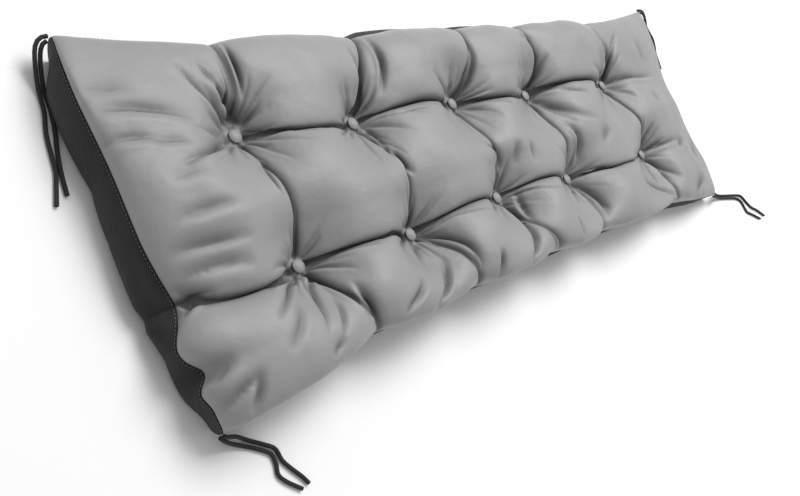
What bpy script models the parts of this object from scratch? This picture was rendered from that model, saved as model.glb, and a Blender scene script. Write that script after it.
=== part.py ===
"""A tufted bench cushion, 1.5 m long, lying on its back.

The grey front panel and its filling are one solid with 6 x 3 crowned cells. A dark cover wraps the back and the
sides, ten covered buttons sit in the tufts and a pair of ties leaves each corner.
Metres, +Z up out of the cushion's face, +X along its length, +Y from the foot edge to the head edge.
"""

import math

import bmesh
import bpy
import numpy as np

# Mesh of the front panel
CELL_STEPS_X = 16  # quads along one cell
CELL_STEPS_Y = 10  # quads across one cell
CELL_CROWDING = 0.35  # how much closer the mesh lines stand at the valleys

# Cloth, buttons and ties
CLOTH = 0.0015  # thickness of the back cover
GAP = 0.0003  # clearance between pieces that touch
BUTTON_RADIUS = 0.0100
BUTTON_HEIGHT = 0.0070
BUTTON_SIDES = 12
SEAT_RADIUS = 0.0125  # flat patch of the panel under a button
TIE_DIAMETER = 0.0055
TIE_STEP = 0.014  # spacing of the points along a tie

# Corners of the seam between panel and cover: x, y and height above the floor
FOOT_LEFT = (-0.742, -0.254, 0.032)
FOOT_RIGHT = (0.736, -0.238, 0.024)
HEAD_LEFT = (-0.750, 0.251, 0.034)
HEAD_RIGHT = (0.764, 0.246, 0.046)

# The two tufts of each column, foot side first: x and y
TUFTS = (
    ((-0.549, -0.099), (-0.559, 0.091)),
    ((-0.326, -0.105), (-0.341, 0.082)),
    ((-0.089, -0.091), (-0.092, 0.088)),
    ((0.139, -0.097), (0.132, 0.081)),
    ((0.456, -0.095), (0.431, 0.075)),
)
TUFT_Z = 0.042
# Where each column's valley meets the seam, at the foot edge and at the head edge: x and y
COLUMN_ENDS = (
    ((-0.495, -0.216), (-0.553, 0.219)),
    ((-0.268, -0.211), (-0.286, 0.214)),
    ((-0.035, -0.210), (-0.040, 0.216)),
    ((0.124, -0.210), (0.146, 0.214)),
    ((0.462, -0.212), (0.412, 0.213)),
)
FOOT_VALLEY_Z = 0.027
HEAD_VALLEY_Z = 0.048
# Where each row's valley meets the seam, at the left end and at the right end, foot side first: x, y and z
ROW_ENDS = (
    ((-0.740, -0.100, 0.042), (0.718, -0.078, 0.036)),
    ((-0.754, 0.064, 0.050), (0.718, 0.056, 0.038)),
)
# Valleys along the two rows, six links each from left to right: sideways bow, and height at the middle
ROW_LINKS = (
    ((-0.006, 0.066), (0.002, 0.070), (0.008, 0.066), (0.009, 0.064), (-0.010, 0.070), (0.006, 0.058)),
    ((-0.008, 0.088), (-0.012, 0.070), (0.005, 0.066), (-0.008, 0.064), (0.006, 0.070), (0.004, 0.064)),
)
# Valleys along the five columns, three links each from foot to head: sideways bow, and height at the middle
COLUMN_LINKS = (
    ((-0.012, 0.062), (0.002, 0.078), (0.004, 0.070)),
    ((0.012, 0.060), (0.014, 0.078), (0.022, 0.066)),
    ((0.006, 0.062), (-0.004, 0.060), (0.014, 0.068)),
    ((0.014, 0.060), (0.004, 0.064), (0.020, 0.066)),
    ((-0.016, 0.062), (0.010, 0.066), (0.034, 0.064)),
)
LINK_POWER = 0.42  # how fast a valley climbs out of a tuft: lower is faster

# The sides of the cushion. bow and rise: the seam between two valley ends, outwards and upwards.
# overhang: how far the panel swells out past the seam. bulge: how far the cover stands out below the seam.
# fullness: how steeply the outer cells start at the seam, below 0 for a thin edge. corner_bow: the seam's bow
# beside a corner, below 0 where it is drawn in.
FOOT = {"bow": 0.004, "rise": 0.004, "overhang": 0.030, "bulge": 0.001, "fullness": 0.5, "corner_bow": 0.003}
HEAD = {"bow": 0.006, "rise": 0.006, "overhang": 0.006, "bulge": 0.014, "fullness": 0.2, "corner_bow": -0.006}
LEFT = {"bow": 0.011, "rise": 0.006, "overhang": 0.004, "bulge": 0.014, "fullness": 0.2, "corner_bow": 0.011}
RIGHT = {"bow": 0.006, "rise": 0.004, "overhang": 0.000, "bulge": 0.010, "fullness": -0.4, "corner_bow": 0.006}

# Height of each cell's crown above the floor: three rows from foot to head, six cells each
CROWN_Z = (
    (0.100, 0.108, 0.110, 0.108, 0.108, 0.082),
    (0.106, 0.116, 0.118, 0.116, 0.116, 0.090),
    (0.076, 0.094, 0.106, 0.103, 0.105, 0.082),
)
CROWN_POWER = 0.62  # below 1 the cells are full, with steep flanks
RIGHT_CROWN_POWER = 1.1  # along the cells of the right end, which fall away to a thin edge
OVERHANG_POWER = 0.35  # how fast the overhang rises beside a valley: lower is faster

# Main folds pressed into the panel: x and y of both ends, half width, depth
FOLDS = (
    (-0.572, 0.104, -0.612, 0.182, 0.014, 0.014),
    (-0.548, 0.110, -0.520, 0.160, 0.013, 0.007),
    (-0.345, 0.098, -0.325, 0.160, 0.014, 0.010),
    (-0.112, 0.100, -0.140, 0.150, 0.014, 0.010),
    (-0.075, 0.100, -0.005, 0.170, 0.014, 0.008),
    (0.146, 0.092, 0.215, 0.150, 0.015, 0.012),
    (0.448, 0.088, 0.530, 0.172, 0.016, 0.012),
    (-0.562, -0.110, -0.640, -0.160, 0.015, 0.010),
    (-0.545, -0.114, -0.570, -0.195, 0.014, 0.009),
    (-0.326, -0.118, -0.345, -0.195, 0.014, 0.010),
    (-0.078, -0.104, -0.005, -0.180, 0.014, 0.008),
    (0.448, -0.108, 0.395, -0.185, 0.015, 0.010),
    (-0.326, 0.062, -0.275, -0.020, 0.014, 0.009),
    (0.150, 0.066, 0.225, 0.025, 0.014, 0.009),
)

# The cover below the seam, from the seam down: share of the seam's height, and share of the bulge there
SIDE_PROFILE = ((1.0, 0.0), (0.66, 0.85), (0.28, 0.90), (0.0, -0.40))
CORNER_REACH = 0.070  # the bulge fades out this close to a corner
CORNER_TUCK = 0.014  # how far the floor patch lies inside a corner
TUCK_POWER = 1.5  # above 1 most of the tuck is close to the floor

# Ties, two strands at each corner, from the corner to the free end: x, y and z of the centre line
FLOOR = 0.0030
TIES = {
    "tie_foot_left_a": (
        (-0.7400, -0.2568, 0.0325),
        (-0.7330, -0.2600, 0.0290),
        (-0.7150, -0.2640, 0.0165),
        (-0.6950, -0.2740, 0.0045),
        (-0.6760, -0.2870, FLOOR),
        (-0.6635, -0.2980, FLOOR),
        (-0.6610, -0.3140, FLOOR),
        (-0.6520, -0.3300, FLOOR),
        (-0.6440, -0.3420, FLOOR),
        (-0.6380, -0.3540, FLOOR),
    ),
    "tie_foot_left_b": (
        (-0.7410, -0.2568, 0.0262),
        (-0.7350, -0.2625, 0.0215),
        (-0.7180, -0.2705, 0.0090),
        (-0.6980, -0.2810, 0.0032),
        (-0.6800, -0.2935, FLOOR),
        (-0.6715, -0.3020, FLOOR),
        (-0.6710, -0.3150, FLOOR),
        (-0.6740, -0.3270, FLOOR),
        (-0.6670, -0.3390, FLOOR),
        (-0.6500, -0.3560, FLOOR),
    ),
    "tie_foot_right_a": (
        (0.7368, -0.2350, 0.0240),
        (0.7560, -0.2360, 0.0215),
        (0.7850, -0.2390, 0.0100),
        (0.8200, -0.2460, 0.0035),
        (0.8650, -0.2540, FLOOR),
        (0.9050, -0.2610, FLOOR),
        (0.9350, -0.2690, FLOOR),
        (0.9480, -0.2880, FLOOR),
        (0.9640, -0.3070, FLOOR),
        (0.9880, -0.3200, FLOOR),
        (1.0160, -0.3420, FLOOR),
    ),
    "tie_foot_right_b": (
        (0.7368, -0.2412, 0.0240),
        (0.7560, -0.2430, 0.0205),
        (0.7830, -0.2460, 0.0090),
        (0.8180, -0.2530, 0.0035),
        (0.8620, -0.2610, FLOOR),
        (0.9000, -0.2690, FLOOR),
        (0.9200, -0.2800, FLOOR),
        (0.9240, -0.2990, FLOOR),
        (0.9260, -0.3120, FLOOR),
        (0.9480, -0.3240, FLOOR),
        (0.9840, -0.3440, FLOOR),
    ),
    "tie_head_left_a": (
        (-0.7510, 0.2540, 0.0340),
        (-0.7605, 0.2525, 0.0325),
        (-0.7675, 0.2440, 0.0275),
        (-0.7710, 0.2250, 0.0180),
        (-0.7720, 0.2020, 0.0060),
        (-0.7730, 0.1850, FLOOR),
        (-0.7755, 0.1700, FLOOR),
        (-0.7830, 0.1450, FLOOR),
        (-0.7870, 0.1190, FLOOR),
        (-0.7900, 0.0980, FLOOR),
        (-0.7970, 0.0780, FLOOR),
        (-0.8050, 0.0570, FLOOR),
    ),
    "tie_head_left_b": (
        (-0.7542, 0.2476, 0.0340),
        (-0.7592, 0.2452, 0.0315),
        (-0.7625, 0.2380, 0.0255),
        (-0.7645, 0.2230, 0.0165),
        (-0.7655, 0.2010, 0.0055),
        (-0.7655, 0.1850, FLOOR),
        (-0.7670, 0.1690, FLOOR),
        (-0.7720, 0.1450, FLOOR),
        (-0.7790, 0.1200, FLOOR),
        (-0.7835, 0.0990, FLOOR),
        (-0.7860, 0.0830, FLOOR),
        (-0.7880, 0.0670, FLOOR),
    ),
    "tie_head_right_a": (
        (0.7646, 0.2500, 0.0460),
        (0.7900, 0.2510, 0.0435),
        (0.8150, 0.2470, 0.0360),
        (0.8400, 0.2370, 0.0230),
        (0.8600, 0.2240, 0.0090),
        (0.8740, 0.2080, 0.0035),
        (0.8760, 0.1900, FLOOR),
        (0.8660, 0.1700, FLOOR),
        (0.8520, 0.1500, FLOOR),
        (0.8460, 0.1300, FLOOR),
        (0.8380, 0.1070, FLOOR),
    ),
    "tie_head_right_b": (
        (0.7646, 0.2440, 0.0460),
        (0.7890, 0.2440, 0.0425),
        (0.8120, 0.2395, 0.0350),
        (0.8350, 0.2290, 0.0220),
        (0.8520, 0.2160, 0.0080),
        (0.8620, 0.2020, 0.0035),
        (0.8640, 0.1860, FLOOR),
        (0.8570, 0.1700, FLOOR),
        (0.8420, 0.1550, FLOOR),
        (0.8320, 0.1350, FLOOR),
        (0.8270, 0.1100, FLOOR),
    ),
}

# Materials: colour, roughness
GREY_SATIN = ((0.30, 0.30, 0.305), 0.42)
CHARCOAL_WEAVE = ((0.022, 0.022, 0.024), 0.85)
BUTTON_SATIN = ((0.27, 0.27, 0.275), 0.45)
BLACK_CORD = ((0.010, 0.010, 0.011), 0.80)


def clear_scene():
    for thing in list(bpy.data.objects):
        bpy.data.objects.remove(thing, do_unlink=True)


def make_material(name, finish):
    colour, roughness = finish
    material = bpy.data.materials.new(name)
    material.use_nodes = True
    shader = material.node_tree.nodes["Principled BSDF"]
    shader.inputs["Base Color"].default_value = (*colour, 1.0)
    shader.inputs["Roughness"].default_value = roughness
    shader.inputs["Metallic"].default_value = 0.0
    return material


def hump(share):
    """0 at both ends of a cell or a link and 1 at its middle."""
    return 4 * share * (1 - share)


def swell(share):
    """0 at both ends and 1 at a third of the way: where the panel swells out above the seam."""
    return 6.75 * share * (1 - share) ** 2


def link(start, end, bow, middle_z, sideways, shares):
    """A curve between two points of the seam or tufts. It bows along the axis `sideways` and arches to middle_z."""
    start, end = np.array(start), np.array(end)
    points = start + (end - start) * shares[:, None]
    points[:, sideways] += bow * hump(shares)
    points[:, 2] += (middle_z - (start[2] + end[2]) / 2) * hump(shares) ** LINK_POWER
    return points


def lattice():
    """The 7 x 4 points where the seam and the valleys meet, by column and row."""
    points = np.zeros((7, 4, 3))
    points[0, 0], points[6, 0] = FOOT_LEFT, FOOT_RIGHT
    points[0, 3], points[6, 3] = HEAD_LEFT, HEAD_RIGHT
    for row, (left, right) in enumerate(ROW_ENDS, start=1):
        points[0, row], points[6, row] = left, right
    for column, ((foot, head), ends) in enumerate(zip(TUFTS, COLUMN_ENDS), start=1):
        points[column, 0] = (*ends[0], FOOT_VALLEY_Z)
        points[column, 1] = (*foot, TUFT_Z)
        points[column, 2] = (*head, TUFT_Z)
        points[column, 3] = (*ends[1], HEAD_VALLEY_Z)
    return points


def row_link(points, column, row, shares):
    """The boundary between two rows of cells, or the seam on a long edge."""
    start, end = points[column, row], points[column + 1, row]
    if row in (1, 2):
        bow, middle_z = ROW_LINKS[row - 1][column]
    else:
        side, outwards = (FOOT, -1) if row == 0 else (HEAD, 1)
        bow = outwards * side["corner_bow" if column in (0, 5) else "bow"]
        middle_z = max(start[2], end[2]) + side["rise"]
    return link(start, end, bow, middle_z, 1, shares)


def column_link(points, column, row, shares):
    """The boundary between two columns of cells, or the seam on a short edge."""
    start, end = points[column, row], points[column, row + 1]
    if 0 < column < 6:
        bow, middle_z = COLUMN_LINKS[column - 1][row]
    else:
        side, outwards = (LEFT, -1) if column == 0 else (RIGHT, 1)
        bow = outwards * side["corner_bow" if row in (0, 2) else "bow"]
        middle_z = max(start[2], end[2]) + side["rise"]
    return link(start, end, bow, middle_z, 0, shares)


def fuller_at_seam(shares, first_side, last_side):
    """Shares along a cell, eased where it meets a side's seam, so that its flank stands up or lies flat there."""
    if first_side:
        return shares * (1 - first_side["fullness"] * (1 - shares))
    if last_side:
        return 1 - (1 - shares) * (1 - last_side["fullness"] * shares)
    return shares


def patch(points, column, row, across, along):
    """A cell's surface between its four boundary links, without its crown. across and along are shares, 0 to 1."""
    foot = row_link(points, column, row, across)[:, None]
    head = row_link(points, column, row + 1, across)[:, None]
    left = column_link(points, column, row, along)[None]
    right = column_link(points, column + 1, row, along)[None]
    u, v = across[:, None, None], along[None, :, None]
    corners = (
        (1 - u) * (1 - v) * points[column, row]
        + u * (1 - v) * points[column + 1, row]
        + (1 - u) * v * points[column, row + 1]
        + u * v * points[column + 1, row + 1]
    )
    return (1 - v) * foot + v * head + (1 - u) * left + u * right - corners


def cell(points, column, row, across, along):
    """A grid of points over one crowned cell."""
    flat = patch(
        points,
        column,
        row,
        fuller_at_seam(across, LEFT if column == 0 else None, RIGHT if column == 5 else None),
        fuller_at_seam(along, FOOT if row == 0 else None, HEAD if row == 2 else None),
    )
    surface = patch(points, column, row, across, along)
    surface[..., :2] = flat[..., :2]
    middle = np.array([0.5])
    crown = CROWN_Z[row][column] - patch(points, column, row, middle, middle)[0, 0, 2]
    u, v = across[:, None], along[None]
    power = RIGHT_CROWN_POWER if column == 5 else CROWN_POWER
    surface[..., 2] += crown * hump(u) ** power * hump(v) ** CROWN_POWER
    beside_u, beside_v = hump(u) ** OVERHANG_POWER, hump(v) ** OVERHANG_POWER
    if row == 0:
        surface[..., 1] -= FOOT["overhang"] * swell(v) * beside_u
    if row == 2:
        surface[..., 1] += HEAD["overhang"] * swell(1 - v) * beside_u
    if column == 0:
        surface[..., 0] -= LEFT["overhang"] * swell(u) * beside_v
    if column == 5:
        surface[..., 0] += RIGHT["overhang"] * swell(1 - u) * beside_v
    return surface


def cell_shares(steps):
    even = np.linspace(0, 1, steps + 1)
    return even - CELL_CROWDING * np.sin(2 * math.pi * even) / (2 * math.pi)


def press_folds(grid):
    """Presses the main folds into the panel as soft troughs that fade towards their far ends."""
    for x0, y0, x1, y1, half_width, depth in FOLDS:
        start, run = np.array((x0, y0)), np.array((x1 - x0, y1 - y0))
        share = np.clip(((grid[..., :2] - start) @ run) / (run @ run), 0, 1)
        distance = np.linalg.norm(grid[..., :2] - start - share[..., None] * run, axis=-1)
        grid[..., 2] -= depth * (1 - 0.5 * share) * np.exp(-((distance / half_width) ** 2))


def seat_buttons(grid):
    """Flattens the eight mesh points around each tuft into the seat of its button."""
    for column in range(1, 6):
        for row in (1, 2):
            i, j = column * CELL_STEPS_X, row * CELL_STEPS_Y
            centre = grid[i, j].copy()
            for di, dj in ((1, 0), (1, 1), (0, 1), (-1, 1), (-1, 0), (-1, -1), (0, -1), (1, -1)):
                angle = math.atan2(dj, di)
                rim = SEAT_RADIUS * np.array((math.cos(angle), math.sin(angle)))
                grid[i + di, j + dj] = (*(centre[:2] + rim), TUFT_Z)
            grid[i, j] = (centre[0], centre[1], TUFT_Z)


def panel_grid():
    """All the points of the front panel, left to right and foot to head."""
    points = lattice()
    across, along = cell_shares(CELL_STEPS_X), cell_shares(CELL_STEPS_Y)
    grid = np.zeros((6 * CELL_STEPS_X + 1, 3 * CELL_STEPS_Y + 1, 3))
    for column in range(6):
        for row in range(3):
            i, j = column * CELL_STEPS_X, row * CELL_STEPS_Y
            grid[i : i + CELL_STEPS_X + 1, j : j + CELL_STEPS_Y + 1] = cell(points, column, row, across, along)
    edge = (grid[0].copy(), grid[-1].copy(), grid[:, 0].copy(), grid[:, -1].copy())
    press_folds(grid)
    grid[0], grid[-1], grid[:, 0], grid[:, -1] = edge
    seat_buttons(grid)
    return grid


def loop_indices(columns, rows):
    """Grid indices round the panel's edge, anticlockwise seen from above, from the foot-left corner."""
    return (
        [(i, 0) for i in range(columns)]
        + [(columns, j) for j in range(rows)]
        + [(i, rows) for i in range(columns, 0, -1)]
        + [(0, j) for j in range(rows, 0, -1)]
    )


def outward_normals(seam):
    """Level directions out of the cushion at each point of the seam, turning smoothly round the corners."""
    level = np.concatenate([seam, seam[:1]])[:, :2]
    length = np.concatenate([[0], np.cumsum(np.linalg.norm(np.diff(level, axis=0), axis=1))])

    def along_seam(shift):
        stops = length[:-1] + shift
        return np.stack([np.interp(stops, length, level[:, axis], period=length[-1]) for axis in (0, 1)], axis=1)

    tangent = along_seam(CORNER_REACH) - along_seam(-CORNER_REACH)
    normal = np.stack([tangent[:, 1], -tangent[:, 0]], axis=1)
    return normal / np.linalg.norm(normal, axis=1)[:, None]


def side_rings(seam):
    """The outer face of the cover below the seam: rings of points from the seam down to the floor."""
    normal = outward_normals(seam)
    corners = np.array([FOOT_LEFT, FOOT_RIGHT, HEAD_LEFT, HEAD_RIGHT])[:, :2]
    to_corner = np.linalg.norm(seam[:, None, :2] - corners[None], axis=2).min(axis=1)
    fade = np.clip(to_corner / CORNER_REACH, 0, 1)
    fade = fade * fade * (3 - 2 * fade)
    weights = np.maximum([-normal[:, 1], normal[:, 1], -normal[:, 0], normal[:, 0]], 0) ** 2
    bulge = fade * (weights.T @ [side["bulge"] for side in (FOOT, HEAD, LEFT, RIGHT)])
    rings = []
    for height, stand_out in SIDE_PROFILE:
        outwards = bulge * stand_out - CORNER_TUCK * (1 - fade) * (1 - height) ** TUCK_POWER
        ring = seam.copy()
        ring[:, :2] += normal * outwards[:, None]
        ring[:, 2] = seam[:, 2] * height
        rings.append(ring)
    return np.array(rings)


def unit(vectors):
    return vectors / np.linalg.norm(vectors, axis=-1, keepdims=True)


def inset_rings(rings, depth):
    """The same rings moved into the cushion by depth, with the floor ring lifted by depth."""
    ahead = unit(np.roll(rings, -1, axis=1) - rings)
    behind = unit(rings - np.roll(rings, 1, axis=1))
    level = np.zeros_like(rings)
    level[..., :2] = -outward_normals(rings[0])
    inwards = unit(np.cross(ahead + behind, np.gradient(rings, axis=0)))
    inwards *= np.sign((inwards * level).sum(axis=2))[..., None]
    at_a_turn = np.linalg.norm(ahead + behind, axis=2)[..., None] / 2
    moved = rings + depth / at_a_turn * inwards
    moved[0, :, 2] = rings[0, :, 2]
    moved[-1] = rings[-1] + 1.3 * depth * level[-1]
    moved[-1, :, 2] = depth
    return moved


def add_ring_faces(mesh, upper, lower):
    """Triangles between two loops of vertices, all split the same way, so that parallel walls stay parallel."""
    count = len(upper)
    for k in range(count):
        following = (k + 1) % count
        mesh.faces.new((upper[k], lower[k], lower[following]))
        mesh.faces.new((upper[k], lower[following], upper[following]))


def finish_mesh(name, mesh, material, collection):
    data = bpy.data.meshes.new(name)
    bmesh.ops.recalc_face_normals(mesh, faces=mesh.faces)
    mesh.to_mesh(data)
    mesh.free()
    data.materials.append(material)
    data.shade_smooth()
    data.set_sharp_from_angle(angle=math.radians(60))
    piece = bpy.data.objects.new(name, data)
    collection.objects.link(piece)
    return piece


def make_cushion(grid, rings, material, collection):
    """The front panel and its filling, as one solid down to the back cover."""
    inner = inset_rings(rings, CLOTH + GAP)
    columns, rows = grid.shape[0] - 1, grid.shape[1] - 1
    loop = loop_indices(columns, rows)
    for point, index in zip(inner[0], loop):
        grid[index] = point
    mesh = bmesh.new()
    vertices = [[mesh.verts.new(point) for point in line] for line in grid]
    for i in range(columns):
        for j in range(rows):
            mesh.faces.new((vertices[i][j], vertices[i + 1][j], vertices[i + 1][j + 1], vertices[i][j + 1]))
    upper = [vertices[i][j] for i, j in loop]
    for ring in inner[1:]:
        lower = [mesh.verts.new(point) for point in ring]
        add_ring_faces(mesh, upper, lower)
        upper = lower
    mesh.faces.new(reversed(upper))
    return finish_mesh("cushion", mesh, material, collection)


def make_back_cover(rings, material, collection):
    """The dark cloth: a shallow tray with a flat floor, as thick as the cloth."""
    inner = inset_rings(rings, CLOTH)
    mesh = bmesh.new()
    outside = [[mesh.verts.new(point) for point in ring] for ring in rings]
    inside = [[mesh.verts.new(point) for point in ring] for ring in inner]
    for upper, lower in zip(outside, outside[1:]):
        add_ring_faces(mesh, upper, lower)
    for upper, lower in zip(inside, inside[1:]):
        add_ring_faces(mesh, upper, lower)
    add_ring_faces(mesh, outside[0], inside[0])
    mesh.faces.new(reversed(outside[-1]))
    mesh.faces.new(inside[-1])
    return finish_mesh("back_cover", mesh, material, collection)


def make_button_mesh(material):
    """A domed button: its profile turned about its own axis."""
    profile = ((0.0, 1.0), (0.45, 0.93), (0.80, 0.68), (1.0, 0.30), (0.90, 0.0), (0.0, 0.0))
    mesh = bmesh.new()
    points = [(share * BUTTON_RADIUS, 0, height * BUTTON_HEIGHT) for share, height in profile]
    vertices = [mesh.verts.new(point) for point in points]
    edges = [mesh.edges.new(pair) for pair in zip(vertices, vertices[1:])]
    bmesh.ops.spin(
        mesh,
        geom=vertices + edges,
        axis=(0, 0, 1),
        cent=(0, 0, 0),
        angle=2 * math.pi,
        steps=BUTTON_SIDES,
        use_merge=True,
    )
    bmesh.ops.remove_doubles(mesh, verts=mesh.verts, dist=0.00001)
    bmesh.ops.recalc_face_normals(mesh, faces=mesh.faces)
    data = bpy.data.meshes.new("button")
    mesh.to_mesh(data)
    mesh.free()
    data.materials.append(material)
    data.shade_smooth()
    return data


def make_buttons(material, collection):
    data = make_button_mesh(material)
    buttons = []
    for column, pair in enumerate(TUFTS, start=1):
        for row, (x, y) in enumerate(pair, start=1):
            button = bpy.data.objects.new(f"button_{column}_{row}", data)
            button.location = (x, y, TUFT_Z + GAP)
            collection.objects.link(button)
            buttons.append(button)
    return buttons


def smooth_route(route, step):
    """Points about a step apart on a Catmull-Rom curve through the route's points."""
    route = np.array(route)
    padded = np.concatenate([[2 * route[0] - route[1]], route, [2 * route[-1] - route[-2]]])
    fine = []
    for before, start, end, after in zip(padded, padded[1:], padded[2:], padded[3:]):
        for t in np.linspace(0, 1, 24, endpoint=False):
            fine.append(
                0.5
                * (
                    2 * start
                    + (end - before) * t
                    + (2 * before - 5 * start + 4 * end - after) * t**2
                    + (3 * start - before - 3 * end + after) * t**3
                )
            )
    fine = np.array(fine + [route[-1]])
    fine[:, 2] = np.maximum(fine[:, 2], FLOOR)
    length = np.concatenate([[0], np.cumsum(np.linalg.norm(np.diff(fine, axis=0), axis=1))])
    stops = np.linspace(0, length[-1], round(length[-1] / step) + 1)
    return np.stack([np.interp(stops, length, fine[:, axis]) for axis in range(3)], axis=1)


def make_tie(name, route, material, collection):
    curve = bpy.data.curves.new(name, "CURVE")
    curve.dimensions = "3D"
    curve.bevel_depth = TIE_DIAMETER / 2
    curve.bevel_resolution = 2
    curve.use_fill_caps = True
    points = smooth_route(route, TIE_STEP)
    spline = curve.splines.new("POLY")
    spline.points.add(len(points) - 1)
    for spot, point in zip(spline.points, points):
        spot.co = (*point, 1.0)
    spline.use_smooth = True
    curve.materials.append(material)
    tie = bpy.data.objects.new(name, curve)
    collection.objects.link(tie)
    return tie


def main():
    clear_scene()
    collection = bpy.data.collections.new("bench_cushion")
    bpy.context.scene.collection.children.link(collection)
    grid = panel_grid()
    loop = loop_indices(grid.shape[0] - 1, grid.shape[1] - 1)
    rings = side_rings(np.array([grid[index] for index in loop]))
    pieces = [
        make_cushion(grid, rings, make_material("grey_satin", GREY_SATIN), collection),
        make_back_cover(rings, make_material("charcoal_weave", CHARCOAL_WEAVE), collection),
    ]
    pieces += make_buttons(make_material("button_satin", BUTTON_SATIN), collection)
    cord = make_material("black_cord", BLACK_CORD)
    pieces += [make_tie(name, route, cord, collection) for name, route in TIES.items()]
    frame = bpy.data.objects.new("bench_cushion_frame", None)
    collection.objects.link(frame)
    for piece in pieces:
        piece.parent = frame


if __name__ == "__main__":
    main()
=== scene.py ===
"""The looks of a tufted bench cushion: a grey satin front panel over its filling, a dark twill cover round
the back and the sides, ten covered buttons, a row of stitches along the seam and two ties at each corner.
Metres, +Z up out of the cushion's face, +X along its length, +Y from the foot edge to the head edge.
"""

import math

import bpy
import numpy as np
from mathutils import Euler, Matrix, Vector


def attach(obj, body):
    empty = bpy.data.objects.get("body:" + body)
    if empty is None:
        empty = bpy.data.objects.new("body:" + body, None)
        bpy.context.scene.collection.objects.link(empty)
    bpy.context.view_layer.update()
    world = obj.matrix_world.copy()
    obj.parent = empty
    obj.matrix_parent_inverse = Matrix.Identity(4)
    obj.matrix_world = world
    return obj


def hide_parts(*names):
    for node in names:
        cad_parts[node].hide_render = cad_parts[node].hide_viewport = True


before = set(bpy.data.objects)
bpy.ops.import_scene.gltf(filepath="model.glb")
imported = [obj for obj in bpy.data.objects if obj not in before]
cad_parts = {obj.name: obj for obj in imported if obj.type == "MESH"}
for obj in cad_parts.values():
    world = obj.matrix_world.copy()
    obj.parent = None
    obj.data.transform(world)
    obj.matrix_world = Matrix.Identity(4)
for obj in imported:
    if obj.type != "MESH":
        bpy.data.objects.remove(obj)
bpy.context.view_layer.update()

# Camera: the photograph's viewing angle
CAMERA_PLACE = (-1.26175, -0.23385, 0.89146)
CAMERA_TURN = (27.6534, -39.6883, -32.1261)  # degrees, XYZ
CAMERA_LENS = 38.324  # mm
SENSOR_WIDTH = 36  # mm

# Studio
WORLD_LIGHT = 0.52
KEY_PLACE = (1.2, 1.7, 3.7)
KEY_SIZE = 2.6
KEY_POWER = 184  # watts
FLOOR_SIZE = 30.0  # half the side of the studio floor
FLOOR_DROP = 0.0005  # how far the studio floor lies below the cushion

# Mesh of the front panel: quads along the cells of each column, and across every cell
CELL_STEPS_X = (118, 112, 90, 72, 60, 52)
CELL_STEPS_Y = 58
CELL_CROWDING = 0.50  # how much closer the mesh lines stand at the valleys

CLOTH = 0.0015  # thickness of the back cover
GAP = 0.0003  # clearance between pieces that touch
FLOOR = 3  # mm, height of a tie's centre line on the floor
TIE_DIAMETER = 0.0055
TIE_POINTS = 32
ROUTE_STEPS = 24  # points worked out between two points of a tie's route
BUTTON_RADIUS = 0.0100
BUTTON_HEIGHT = 0.0056
BUTTON_FALL = 0.62  # how much lower a button's rim is than its middle, as a share of its height
BUTTON_ROUND = 2.4  # how flat its top is: higher is flatter
BUTTON_SIDE = 0.2  # share of its rings that are on its side, below the rim
BUTTON_TUCK = 0.16  # how much narrower its foot is than its rim, as a share of its radius
BUTTON_GATHER = 0.00035  # height of the gathers at its rim
BUTTON_RINGS, BUTTON_SIDES = 14, 40

# Corners of the seam between panel and cover: x, y and height above the floor
FOOT_LEFT = (-0.742, -0.254, 0.032)
FOOT_RIGHT = (0.736, -0.238, 0.024)
HEAD_LEFT = (-0.750, 0.251, 0.034)
HEAD_RIGHT = (0.764, 0.246, 0.046)

# The two tufts of each column, foot side first: x and y
TUFTS = (
    ((-0.549, -0.099), (-0.559, 0.091)),
    ((-0.326, -0.105), (-0.341, 0.082)),
    ((-0.089, -0.091), (-0.092, 0.088)),
    ((0.139, -0.097), (0.132, 0.081)),
    ((0.456, -0.095), (0.431, 0.075)),
)
TUFT_Z = 0.042
# Where each column's valley meets the seam, at the foot edge and at the head edge: x and y
COLUMN_ENDS = (
    ((-0.495, -0.216), (-0.553, 0.219)),
    ((-0.268, -0.211), (-0.286, 0.214)),
    ((-0.035, -0.210), (-0.040, 0.216)),
    ((0.124, -0.210), (0.146, 0.214)),
    ((0.462, -0.212), (0.412, 0.213)),
)
FOOT_VALLEY_Z = 0.027
HEAD_VALLEY_Z = 0.048
# Where each row's valley meets the seam, at the left end and at the right end, foot side first
ROW_ENDS = (
    ((-0.740, -0.100, 0.042), (0.718, -0.078, 0.036)),
    ((-0.754, 0.064, 0.050), (0.718, 0.056, 0.038)),
)
# Valleys along the two rows, six links each from left to right: sideways bow, and height at the middle
ROW_LINKS = (
    ((-0.017, 0.066), (0.002, 0.070), (0.008, 0.066), (0.009, 0.064), (-0.010, 0.070), (0.006, 0.058)),
    ((-0.008, 0.088), (-0.012, 0.070), (0.005, 0.066), (-0.008, 0.064), (0.006, 0.070), (0.004, 0.064)),
)
# Valleys along the five columns, three links each from foot to head: sideways bow, and height at the middle
COLUMN_LINKS = (
    ((-0.004, 0.088), (0.002, 0.078), (0.004, 0.070)),
    ((0.012, 0.088), (0.008, 0.080), (0.000, 0.070)),
    ((-0.010, 0.090), (-0.002, 0.086), (0.014, 0.082)),
    ((0.014, 0.090), (0.000, 0.086), (0.020, 0.080)),
    ((0.008, 0.086), (0.004, 0.084), (0.034, 0.074)),
)
LINK_POWER = 0.42  # how fast a valley climbs out of a tuft: lower is faster

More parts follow.
